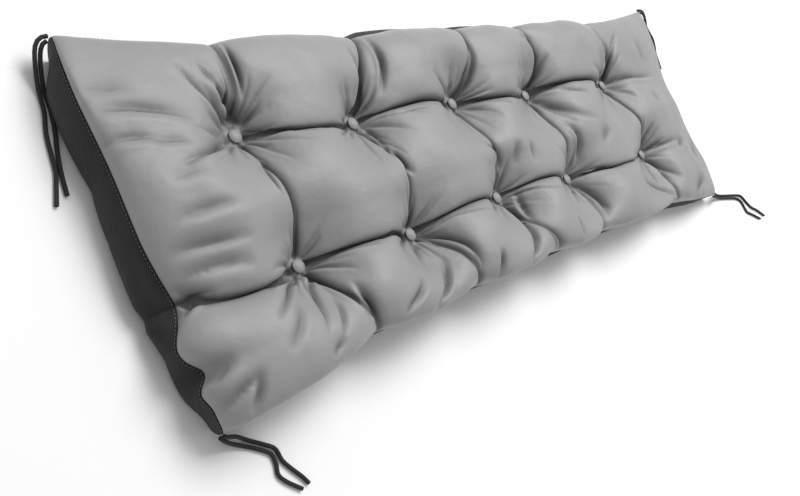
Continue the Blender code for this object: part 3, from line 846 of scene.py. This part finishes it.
def edge_fade(grid):
    """1 over the panel and 0 on its seam."""
    fade = np.ones(grid.shape[:2])
    for axis, index in ((0, 0), (0, -1), (1, 0), (1, -1)):
        line = np.take(grid, [index], axis=axis)
        distance = np.linalg.norm(grid - line, axis=-1)
        fade = np.minimum(fade, np.clip(distance / EDGE_FADE, 0, 1))
    return ease(fade)


def fold_profile(distance, half_width, lean, lip):
    """Depth of a sharp-bottomed trough at a signed distance from its line, 1 at the line, with a raised lip
    beside it. Its steeper and higher side is the one that lean names, 1 for the left and -1 for the right."""
    towards = lean * np.sign(distance)
    away = np.abs(distance) / half_width
    trough = np.exp(-((away / (1 - STEEPER * towards)) ** TROUGH_POWER))
    hollow = HOLLOW * np.exp(-((away / HOLLOW_WIDTH) ** 2))
    return trough + hollow - lip * (1 + LIP_LEAN * towards) * np.exp(-(((away - LIP_PLACE) / LIP_WIDTH) ** 2))


def fold_along(grid, moved, line, half_width, depth, strength_at, lean, lip=0.0):
    """Adds one fold along a level line to the heights in moved."""
    inside, offset, share, side = beside(grid, line, FOLD_REACH * half_width)
    distance = side * np.linalg.norm(offset, axis=-1)
    moved[inside] -= depth * strength_at(share) * fold_profile(distance, half_width, lean, lip)


def paint_shade_along(grid, painted_shade, line, half_width, amount, strength_at, lean):
    """Paints shade into the cloth's colour along a level line: far out on the gentle side of the fold, and
    hardly past the line on the side that lies over it."""
    inside, offset, share, side = beside(grid, line, PAINTED_SHADE_REACH * half_width)
    skew = np.where(lean * side > 0, PAINTED_SHADE_SKEW_OVER, PAINTED_SHADE_SKEW_UNDER)
    reach = half_width * (1 - skew * lean * side)
    away = np.linalg.norm(offset, axis=-1) / reach
    # Painted shade: the darkest value wins where folds meet
    painted_shade[inside] = np.maximum(painted_shade[inside], amount * strength_at(share) * np.exp(-(away**PAINTED_SHADE_POWER)))


def lean_over(grid, line, reach, over, strength_at, lean):
    """Draws the cloth on one side of a line towards the line, and by over across it."""
    inside, offset, share, side = beside(grid, line, reach)
    distance = np.linalg.norm(offset, axis=-1, keepdims=True)
    near = np.clip(distance / reach, 0, 1)
    shift = reach * (near - near**LEAN_POWER) + over * hump(near)
    leaning = np.clip(side * lean, 0, 1) * strength_at(share)
    grid[inside, :2] -= offset / np.maximum(distance, 1e-9) * shift * leaning[:, None]


def from_a_tuft(share):
    """Strength of a fold along its length: it starts at a tuft and runs out."""
    return np.minimum(1, AT_A_TUFT + TUFT_GAIN * share) * np.clip(1 - share**RUN_OUT, 0, 1) ** RUN_OUT_ROUND


def free_at_both_ends(share):
    """Strength of a wrinkle along its length."""
    return np.sin(math.pi * share)


def clear_of_both_ends(share):
    """Strength of the lean along a line."""
    return np.clip(np.minimum(share, 1 - share) / LEAN_ENDS, 0, 1)


def lean_of(line):
    """How far the cloth left of a line lies over the cloth right of it: 1 wholly, -1 the other way round."""
    run = (line[-1] - line[0]) / np.linalg.norm(line[-1] - line[0])
    return float(np.clip(LEAN_TURN * (-run[1] * LIES_OVER[0] + run[0] * LIES_OVER[1]), -1, 1))


def gathers():
    """Short, fine pleats that fan out from every tuft."""
    random = np.random.default_rng(GATHER_SEED)
    folds = []
    for pair in TUFTS:
        for x, y in pair:
            for k in range(GATHERS):
                turn = 360 * (k + random.uniform(-GATHER_SPREAD, GATHER_SPREAD)) / GATHERS
                outwards = np.array((math.cos(math.radians(turn)), math.sin(math.radians(turn))))
                start = 1000 * np.array((x, y)) + GATHER_START * outwards
                length = random.uniform(*GATHER_LENGTHS)
                bow = random.uniform(*GATHER_BOWS)
                line = arc(*start, turn + random.uniform(*GATHER_SWERVES), length, bow)
                folds.append((line, GATHER_WIDTH, random.uniform(*GATHER_DEPTHS), from_a_tuft))
    return folds


def press_folds(grid, painted_shade):
    """Presses the folds into the panel along its normals, paints shade along them, and lets the cloth beside
    the creases hang over.
    """
    moved = np.zeros(grid.shape[:2])
    folds = []
    for table, strength_at in ((CREASES, from_a_tuft), (WRINKLES, free_at_both_ends)):
        for x, y, heading, length, bow, half_width, depth in table:
            line = arc(x, y, heading, length, bow)
            width = half_width / 1000 * float(np.interp(x, (NARROW_LEFT, WIDE_RIGHT), (NARROWER, 1)))
            folds.append((line, width, depth / 1000, strength_at))
    folds += gathers()
    for line, half_width, depth, strength_at in folds:
        fold_along(grid, moved, line, half_width, depth, strength_at, lean_of(line), FOLD_LIP)
        # Painted shade along the fold: darkens the cloth's colour in and beside it
        paint_shade_along(grid, painted_shade, line, half_width, min(1, depth / FULL_PAINTED_SHADE), strength_at, lean_of(line))
    grid += grid_normals(grid) * (moved * edge_fade(grid))[..., None]
    for line, half_width, depth, strength_at in folds:
        if strength_at is from_a_tuft:
            reach = (LONG_REACH if depth > DEEP_FOLD else SHORT_REACH) * half_width
            lean_over(grid, line, reach, FOLD_OVER * depth, clear_of_both_ends, lean_of(line))


def valley_lines():
    """The level lines of the valleys, each with how deeply it is drawn in and with the side that its painted
    shade lies on, 1 for the right and -1 for the left."""
    points = lattice()
    shares = np.linspace(0, 1, VALLEY_POINTS)
    for row, depths in zip((1, 2), ROW_PINCHES):
        for column, depth in enumerate(depths):
            yield row_link(points, column, row, shares)[:, :2], depth, -1.0
    for column, depths in enumerate(COLUMN_PINCHES, start=1):
        for row, depth in enumerate(depths):
            yield column_link(points, column, row, shares)[:, :2], depth, 1.0


def close_valleys(grid):
    """Lets the cell to the left of each valley's line lean out over it."""
    for line, depth, _ in valley_lines():
        lean_over(grid, line, LEAN_REACH, LEAN_OVER, clear_of_both_ends, min(1, depth / FULL_LEAN))


def pinch_valleys(grid, painted_shade):
    """Draws the panel in along the valleys, and paints shade into its colour there."""
    moved = np.zeros(grid.shape[:2])
    for line, depth, skew in valley_lines():
        fold_along(grid, moved, line, PINCH_WIDTH, depth * PINCH_SHARE, np.ones_like, 0.0)
        # Painted shade along the valley: darkens the cloth's colour there
        paint_shade_along(grid, painted_shade, line, VALLEY_PAINTED_SHADE, min(1, depth / FULL_PAINTED_SHADE), np.ones_like, skew)
    grid[..., 2] += moved * edge_fade(grid)


def bridge_valleys(grid):
    """Smooths the panel across the valleys that the filling bridges."""
    for x, y, heading, length, half_width, passes in BRIDGES:
        offset, _, _ = from_line(grid[..., :2], arc(x, y, heading, length, 0))
        distance = np.linalg.norm(offset, axis=-1)
        mask = np.exp(-((distance * 1000 / half_width) ** 4))
        for _ in range(passes):
            mean = (grid[:, 2:] + grid[:, :-2]) / 2
            grid[:, 1:-1] += 0.5 * mask[:, 1:-1, None] * (mean - grid[:, 1:-1])


def open_tufts(grid):
    """Opens the panel into a shallow funnel round each tuft, so that its button shows."""
    for pair, drawn in zip(TUFTS, FUNNEL_DRAWN):
        for (x, y), shallower in zip(pair, drawn):
            offset = grid[..., :2] - (x, y)
            distance = np.linalg.norm(offset, axis=-1)
            towards_foot_left = np.clip(offset @ TOWARDS_FOOT_LEFT / np.maximum(distance, 1e-9), 0, 1)
            away = (distance - BUTTON_RADIUS) * (1 - shallower * towards_foot_left)
            funnel = FUNNEL_SLOPE * away + FUNNEL_CURVE * away * np.abs(away)
            height = grid[..., 2] - TUFT_Z
            blend = FUNNEL_BLEND + FUNNEL_EASE * np.clip(away, 0, FUNNEL_EASED)
            grid[..., 2] = TUFT_Z - blend * np.logaddexp(-height / blend, -funnel / blend)


def rumple(grid):
    """Soft, shallow unevenness all over the panel, as of a loose filling."""
    random = np.random.default_rng(RUMPLE_SEED)
    moved = np.zeros(grid.shape[:2])
    for _ in range(RUMPLE_WAVES):
        turn, phase = random.uniform(0, math.tau, 2)
        wavelength = random.uniform(*RUMPLE_LENGTHS)
        across = grid[..., 0] * math.cos(turn) + grid[..., 1] * math.sin(turn)
        moved += np.sin(math.tau * across / wavelength + phase)
    moved *= RUMPLE_HEIGHT / math.sqrt(RUMPLE_WAVES)
    grid += grid_normals(grid) * (moved * edge_fade(grid))[..., None]


def relax(grid):
    """Evens out the panel between neighbouring points, so that its mesh doesn't show in the folds."""
    across = (grid[2:, 1:-1] + grid[:-2, 1:-1]) / 2
    along = (grid[1:-1, 2:] + grid[1:-1, :-2]) / 2
    grid[1:-1, 1:-1] += RELAX * ((across + along) / 2 - grid[1:-1, 1:-1])


def sink_tufts(grid):
    """Flattens the panel under each button."""
    for pair in TUFTS:
        for x, y in pair:
            distance = np.linalg.norm(grid[..., :2] - (x, y), axis=-1)
            seat = ease(np.clip(1 - (distance - SEAT_RADIUS) / SEAT_EDGE, 0, 1))
            grid[..., 2] += (TUFT_Z - SEAT_DEPTH - grid[..., 2]) * seat


# Cover below the seam


def loop_indices(grid):
    """Grid indices round the panel's edge, anticlockwise seen from above, from the foot-left corner."""
    columns, rows = grid.shape[0] - 1, grid.shape[1] - 1
    return (
        [(i, 0) for i in range(columns)]
        + [(columns, j) for j in range(rows)]
        + [(i, rows) for i in range(columns, 0, -1)]
        + [(0, j) for j in range(rows, 0, -1)]
    )


def outward_normals(seam):
    """Level directions out of the cushion at each point of the seam, turning smoothly round the corners."""
    level = np.concatenate([seam, seam[:1]])[:, :2]
    distances = distances_along(level)
    before, after = distances[:-1] - CORNER_REACH, distances[:-1] + CORNER_REACH
    whole = distances[-1]
    tangent = points_at(after, distances, level, whole) - points_at(before, distances, level, whole)
    normal = np.stack([tangent[:, 1], -tangent[:, 0]], axis=1)
    return normal / np.linalg.norm(normal, axis=1)[:, None]


def side_rings(seam, plain):
    """The outer face of the cover below the seam: rings of points from the seam down to the floor. Lower down
    they follow the plain seam, which has no waves."""
    normal = outward_normals(plain)
    corners = np.array([FOOT_LEFT, FOOT_RIGHT, HEAD_LEFT, HEAD_RIGHT])[:, :2]
    to_corner = np.linalg.norm(seam[:, None, :2] - corners[None], axis=2).min(axis=1)
    fade = ease(np.clip(to_corner / CORNER_REACH, 0, 1))
    weights = np.maximum([-normal[:, 1], normal[:, 1], -normal[:, 0], normal[:, 0]], 0) ** 2
    tables = ((FOOT_BULGE, 0), (HEAD_BULGE, 0), (LEFT_BULGE, 1), (RIGHT_BULGE, 1))
    bulges = [np.interp(seam[:, axis], *zip(*table)) for table, axis in tables]
    bulge = fade * (weights * bulges).sum(axis=0)
    rings = []
    for height, stand_out in SIDE_PROFILE:
        outwards = bulge * stand_out - CORNER_TUCK * (1 - fade) * (1 - height) ** TUCK_POWER
        ring = plain + (seam - plain) * height**2
        ring[:, :2] += normal * outwards[:, None]
        ring[:, 2] = seam[:, 2] * height
        rings.append(ring)
    return np.array(rings)


def inset_rings(rings, depth):
    """The same rings moved into the cushion by depth, with the floor ring lifted by depth."""
    ahead = unit(np.roll(rings, -1, axis=1) - rings)
    behind = unit(rings - np.roll(rings, 1, axis=1))
    level = np.zeros_like(rings)
    level[..., :2] = -outward_normals(rings[0])
    inwards = unit(np.cross(ahead + behind, np.gradient(rings, axis=0)))
    inwards *= np.sign((inwards * level).sum(axis=2))[..., None]
    at_a_turn = np.linalg.norm(ahead + behind, axis=2)[..., None] / 2
    moved = rings + depth / at_a_turn * inwards
    moved[0, :, 2] = rings[0, :, 2]
    moved[-1] = rings[-1] + FLOOR_INSET * depth * level[-1]
    moved[-1, :, 2] = depth
    return moved


def mesh_of(name, points, faces, material):
    data = bpy.data.meshes.new(name)
    data.from_pydata([tuple(point) for point in points], [], faces)
    data.validate()
    data.materials.append(material)
    data.shade_smooth()
    return data


def grid_faces(grid):
    """Quads over a grid of points, and the number of each point."""
    index = np.arange(grid.shape[0] * grid.shape[1]).reshape(grid.shape[:2])
    quads = np.stack([index[:-1, :-1], index[1:, :-1], index[1:, 1:], index[:-1, 1:]], axis=-1)
    return quads.reshape(-1, 4).tolist(), index


def ring_faces(upper, lower):
    """Quads between two loops of vertex numbers that run anticlockwise seen from above, facing outwards."""
    following_upper, following_lower = np.roll(upper, -1), np.roll(lower, -1)
    return np.stack([upper, lower, following_lower, following_upper], axis=-1).tolist()


def make_cushion(grid, rings, painted_shade, material):
    """The front panel and its filling, as one closed form down to the back cover."""
    inner = inset_rings(rings, CLOTH + GAP)
    loop = loop_indices(grid)
    grid = grid.copy()
    for point, index in zip(inner[0], loop):
        grid[index] = point
    faces, numbers = grid_faces(grid)
    points = [grid.reshape(-1, 3)]
    upper = np.array([numbers[index] for index in loop])
    count = numbers.size
    for ring in (*inner[2:-1:2], inner[-1]):
        lower = np.arange(count, count + len(loop))
        faces += ring_faces(upper, lower)
        points.append(ring)
        upper, count = lower, count + len(loop)
    faces.append(upper[::-1].tolist())
    data = mesh_of("front_panel", np.concatenate(points), faces, material)
    # Painted shade of the folds and valleys, carried to the satin as the panel's fold attribute
    shade = np.zeros(len(data.vertices), dtype=np.float32)
    shade[: painted_shade.size] = painted_shade.ravel()
    data.attributes.new("fold", "FLOAT", "POINT").data.foreach_set("value", shade)
    return link_object("front_panel", data)


def make_cover(rings, material):
    """The dark cloth: a shallow tray with a flat floor, as thick as the cloth."""
    inner = inset_rings(rings, CLOTH)
    count = rings.shape[1]
    layers = [*rings, *inner[::-1]]
    loops = np.arange(len(layers) * count).reshape(len(layers), count)
    outside_floor, inside_floor = loops[len(rings) - 1], loops[len(rings)]
    faces = []
    for upper, lower in zip(loops, np.roll(loops, -1, axis=0)):
        if upper[0] == outside_floor[0]:
            faces += [outside_floor[::-1].tolist(), inside_floor.tolist()]
        else:
            faces += ring_faces(upper, lower)
    return link_object("side_cover", mesh_of("side_cover", np.concatenate(layers), faces, material))


def make_stitches(rings, material):
    """A row of short stitches on the cover just below the seam: each a flat lozenge prism along the row."""
    row = rings[0] + (rings[1] - rings[0]) * STITCH_PLACE
    loop = np.concatenate([row, row[:1]])
    distances = distances_along(loop)
    count = int(distances[-1] / STITCH_PITCH)
    middles = (np.arange(count) + 0.5) * distances[-1] / count
    centre = points_at(middles, distances, loop)
    step = 0.001  # before and after a stitch's middle, to find which way the row runs
    ahead = unit(points_at(middles + step, distances, loop) - points_at(middles - step, distances, loop))
    drop = unit(rings[1] - rings[0])
    nearest = np.searchsorted(distances[1:-1], middles)
    down = unit(drop[nearest] - (drop[nearest] * ahead).sum(axis=1, keepdims=True) * ahead)
    out = unit(np.cross(down, ahead))
    out *= np.sign((out[:, :2] * outward_normals(rings[0])[nearest]).sum(axis=1))[:, None]
    outline = ((-1, 0, 0), (-0.5, 1, 0), (0.5, 1, 0), (1, 0, 0), (0.5, -1, 0), (-0.5, -1, 0))
    crest = ((-0.5, 0, 1), (0.5, 0, 1))
    shape = np.array(outline + crest) * STITCH_SIZE * (0.5, 0.5, 1)
    corners = (
        centre[:, None]
        + shape[None, :, 0, None] * ahead[:, None]
        + shape[None, :, 1, None] * down[:, None]
        + (shape[None, :, 2, None] + GAP / 2) * out[:, None]
    )
    faces = []
    for k in range(count):
        a, b, c, d, e, f, g, h = range(8 * k, 8 * k + 8)
        faces += [(a, b, g), (b, c, h, g), (c, d, h), (d, e, h), (e, f, g, h), (f, a, g), (f, e, d, c, b, a)]
    stitches = link_object("seam_stitches", mesh_of("seam_stitches", corners.reshape(-1, 3), faces, material))
    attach(stitches, "root")


def make_button(name, x, y, material, seed):
    """A button covered in the panel's cloth: domed, with small gathers round its rim."""
    rings, around, dome = BUTTON_RINGS, BUTTON_SIDES, 1 - BUTTON_SIDE
    random = np.random.default_rng(seed)
    phase = random.uniform(0, math.tau, 3)
    points = [(0, 0, BUTTON_HEIGHT)]
    for k in range(1, rings + 1):
        share = k / rings
        turn = np.linspace(0, math.tau, around, endpoint=False)
        if share < dome:
            radius = BUTTON_RADIUS * share / dome
            height = BUTTON_HEIGHT * (1 - BUTTON_FALL * (share / dome) ** BUTTON_ROUND)
        else:
            down = (share - dome) / BUTTON_SIDE
            radius = BUTTON_RADIUS * (1 - BUTTON_TUCK * down**2)
            height = BUTTON_HEIGHT * (1 - BUTTON_FALL) * (1 - down)
        waves = np.sin(9 * turn + phase[0]) + 0.6 * np.sin(14 * turn + phase[1])
        gather = BUTTON_GATHER * share**3 * waves
        for angle, out in zip(turn, gather):
            points.append(((radius + out) * math.cos(angle), (radius + out) * math.sin(angle), height + out))
    loops = np.arange(1, rings * around + 1).reshape(rings, around)
    first = loops[0].tolist()
    faces = [(0, here, following) for here, following in zip(first, first[1:] + first[:1])]
    for inner, outer in zip(loops, loops[1:]):
        faces += ring_faces(inner, outer)
    faces.append(loops[-1, ::-1].tolist())
    button = link_object(name, mesh_of(name, np.array(points, float), faces, material))
    button.location = (x, y, TUFT_Z + GAP)
    return button


def make_buttons(material):
    for column, pair in enumerate(TUFTS, start=1):
        for row, (x, y) in enumerate(pair, start=1):
            node = f"button_{column}_{row}"
            button = make_button(node + "_covered", x, y, material, 10 * column + row)
            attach(button, "root")
            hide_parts(node)


def make_floor():
    n = Nodes("studio_floor")
    colour = n.mix_colour(n.noise(2.0), (0.86, 0.86, 0.86, 1), (0.88, 0.88, 0.88, 1))
    data = bpy.data.meshes.new("studio_floor")
    corners = [(FLOOR_SIZE * x, FLOOR_SIZE * y, 0) for x, y in ((-1, -1), (1, -1), (1, 1), (-1, 1))]
    data.from_pydata(corners, [], [(0, 1, 2, 3)])
    data.materials.append(n.finish(Base_Color=colour, Roughness=0.9))
    floor = link_object("studio_floor", data)
    floor.location.z = -FLOOR_DROP


def add_key_light():
    lamp = bpy.data.lights.new("key", "AREA")
    lamp.size = KEY_SIZE
    lamp.energy = KEY_POWER
    light = link_object("key", lamp)
    light.location = KEY_PLACE
    light.rotation_euler = (-Vector(KEY_PLACE)).to_track_quat("-Z", "Y").to_euler()


def light_studio():
    world = bpy.data.worlds.new("studio")
    world.use_nodes = True
    background = world.node_tree.nodes["Background"]
    background.inputs["Color"].default_value = (1, 1, 1, 1)
    background.inputs["Strength"].default_value = WORLD_LIGHT
    bpy.context.scene.world = world
    bpy.context.scene.view_settings.view_transform = "Standard"
    add_key_light()


def main():
    satin = grey_satin()
    twill = charcoal_twill()
    grid = crowned_panel()
    plain = grid.copy()
    wave_left_seam(grid)
    bridge_valleys(grid)
    rumple(grid)
    open_tufts(grid)
    # Painted shade for the panel's colour, filled in along the valleys and the folds
    painted_shade = np.zeros(grid.shape[:2])
    pinch_valleys(grid, painted_shade)
    close_valleys(grid)
    press_folds(grid, painted_shade)
    relax(grid)
    sink_tufts(grid)
    loop = loop_indices(grid)
    rings = side_rings(np.array([grid[index] for index in loop]), np.array([plain[index] for index in loop]))
    panel = make_cushion(grid, rings, painted_shade, satin)
    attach(panel, "root")
    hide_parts("cushion")
    cover = make_cover(rings, twill)
    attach(cover, "root")
    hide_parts("back_cover")
    make_stitches(rings, pale_thread())
    make_buttons(satin)
    make_floor()
    light_studio()


main()
